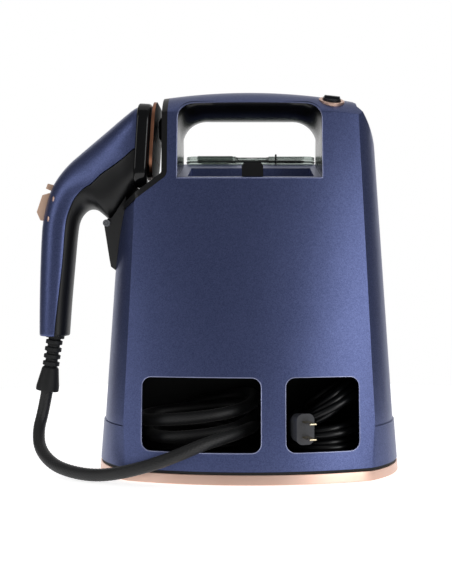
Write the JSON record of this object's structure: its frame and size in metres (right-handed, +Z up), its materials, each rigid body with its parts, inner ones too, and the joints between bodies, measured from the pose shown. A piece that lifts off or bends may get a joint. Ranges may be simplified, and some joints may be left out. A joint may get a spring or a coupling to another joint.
{
  "type": "garment steamer",
  "caption": "Upright garment steamer base with a carry handle, water tank and cord bins, and a hose-fed steam handset hung in a side dock.",
  "frame": {"origin": "on the floor under the middle of the base, on the rubber foot ring's underside", "axes": "+Z up, -Y the rear face with the two cord bins, +Y the water tank's side, -X the handset's dock"},
  "size_m": [0.3323, 0.1959, 0.343],
  "materials": {
    "shell_blue": "satin metallic-flake paint on moulded plastic",
    "rose_gold": "satin rose gold",
    "black_plastic": "fine-grain moulded black",
    "soft_black": "matt rubber",
    "smoke_clear": "smoke-tinted clear plastic",
    "smoke_lid": "smoke-tinted clear plastic",
    "copper_plate": "copper-coloured non-stick plate",
    "dark_metal": "dark metallic",
    "steel": "plated",
    "cast_alloy": "die cast",
    "valve_plastic": "white engineering plastic",
    "board_green": "circuit board",
    "hose_braid": "braided black sleeve",
    "cord_rubber": "black flexible cord"
  },
  "bodies": {
    "base": {"rear_housing": "shell_blue", "front_housing": "shell_blue", "right_side_panel": "shell_blue", "left_side_panel": "shell_blue", "top_cover": "shell_blue", "handle_liner": "shell_blue", "handle_tray": "shell_blue", "base_band": "rose_gold", "bottom_plate": "black_plastic", "hose_bin": "black_plastic", "cord_bin": "black_plastic", "deck_plate": "black_plastic", "tank_bay": "black_plastic", "latch_boss": "black_plastic", "dock_trim": "black_plastic", "cradle_hook": "black_plastic", "board_bracket": "black_plastic", "dial_encoder": "black_plastic", "dial_bezel": "rose_gold", "boiler_cover": "black_plastic", "grip_insert": "black_plastic", "base_gasket": "soft_black", "rubber_foot_ring": "soft_black", "dock_bumper": "soft_black", "boiler_grommets": "soft_black", "pump_saddle": "soft_black", "cord_gland": "soft_black", "hose_gland": "soft_black", "base_screws": "steel", "heating_element": "steel", "plug_blades": "steel", "boiler_body": "cast_alloy", "tank_socket": "valve_plastic", "thermal_cutouts": "valve_plastic", "inner_pipes": "valve_plastic", "water_pump": "valve_plastic", "control_board": "board_green", "hose_tube": "hose_braid", "hose_coil": "hose_braid", "cord_leads": "cord_rubber", "cord_coil": "cord_rubber", "plug_body": "cord_rubber"},
    "tank": {"water_tank": "smoke_clear", "tank_valve": "valve_plastic", "tank_lid": "smoke_lid", "vent_pin": "black_plastic"},
    "cap": {"filler_cap": "smoke_lid"},
    "latch": {"tank_latch": "black_plastic"},
    "dial": {"power_dial": "dark_metal"},
    "handset": {"handset_back_shell": "shell_blue", "handset_inner_shell": "black_plastic", "shell_pins": "rose_gold", "microswitch": "black_plastic", "steam_plate": "copper_plate", "steam_chamber": "black_plastic", "head_ring": "black_plastic", "handset_steam_tube": "valve_plastic", "strain_relief": "soft_black"},
    "trigger": {"steam_trigger": "rose_gold"},
    "lock": {"trigger_lock": "rose_gold"}
  },
  "joints": [
    {"name": "dial_turn", "type": "hinge", "parent": "base", "child": "dial", "pos_m": [0.074, -0.024, 0.33216], "axis": [0.0955, -0.4067, 0.9085], "range_deg": [-120, 0]},
    {"name": "tank_pull", "type": "slide", "parent": "base", "child": "tank", "axis": [0, 1, 0], "range_m": [0, 0.095]},
    {"name": "cap_hinge", "type": "hinge", "parent": "tank", "child": "cap", "pos_m": [-0.033, 0.057, 0.2912], "axis": [1, 0, 0], "range_deg": [0, 100]},
    {"name": "latch_tilt", "type": "hinge", "parent": "base", "child": "latch", "pos_m": [0.003, -0.036, 0.257], "axis": [1, 0, 0], "range_deg": [0, 12], "stiffness_Nm_per_rad": 0.1, "springref_deg": -5.73},
    {"name": "handset_lift", "type": "slide", "parent": "base", "child": "handset", "axis": [-0.5, 0, 0.866], "range_m": [0, 0.12]},
    {"name": "trigger_press", "type": "slide", "parent": "handset", "child": "trigger", "axis": [0.9695, 0, -0.2453], "range_m": [0, 0.003], "stiffness_N_per_m": 600, "springref_m": -0.001},
    {"name": "lock_slide", "type": "slide", "parent": "handset", "child": "lock", "axis": [0, 1, 0], "range_m": [-0.002, 0.002]}
  ]
}
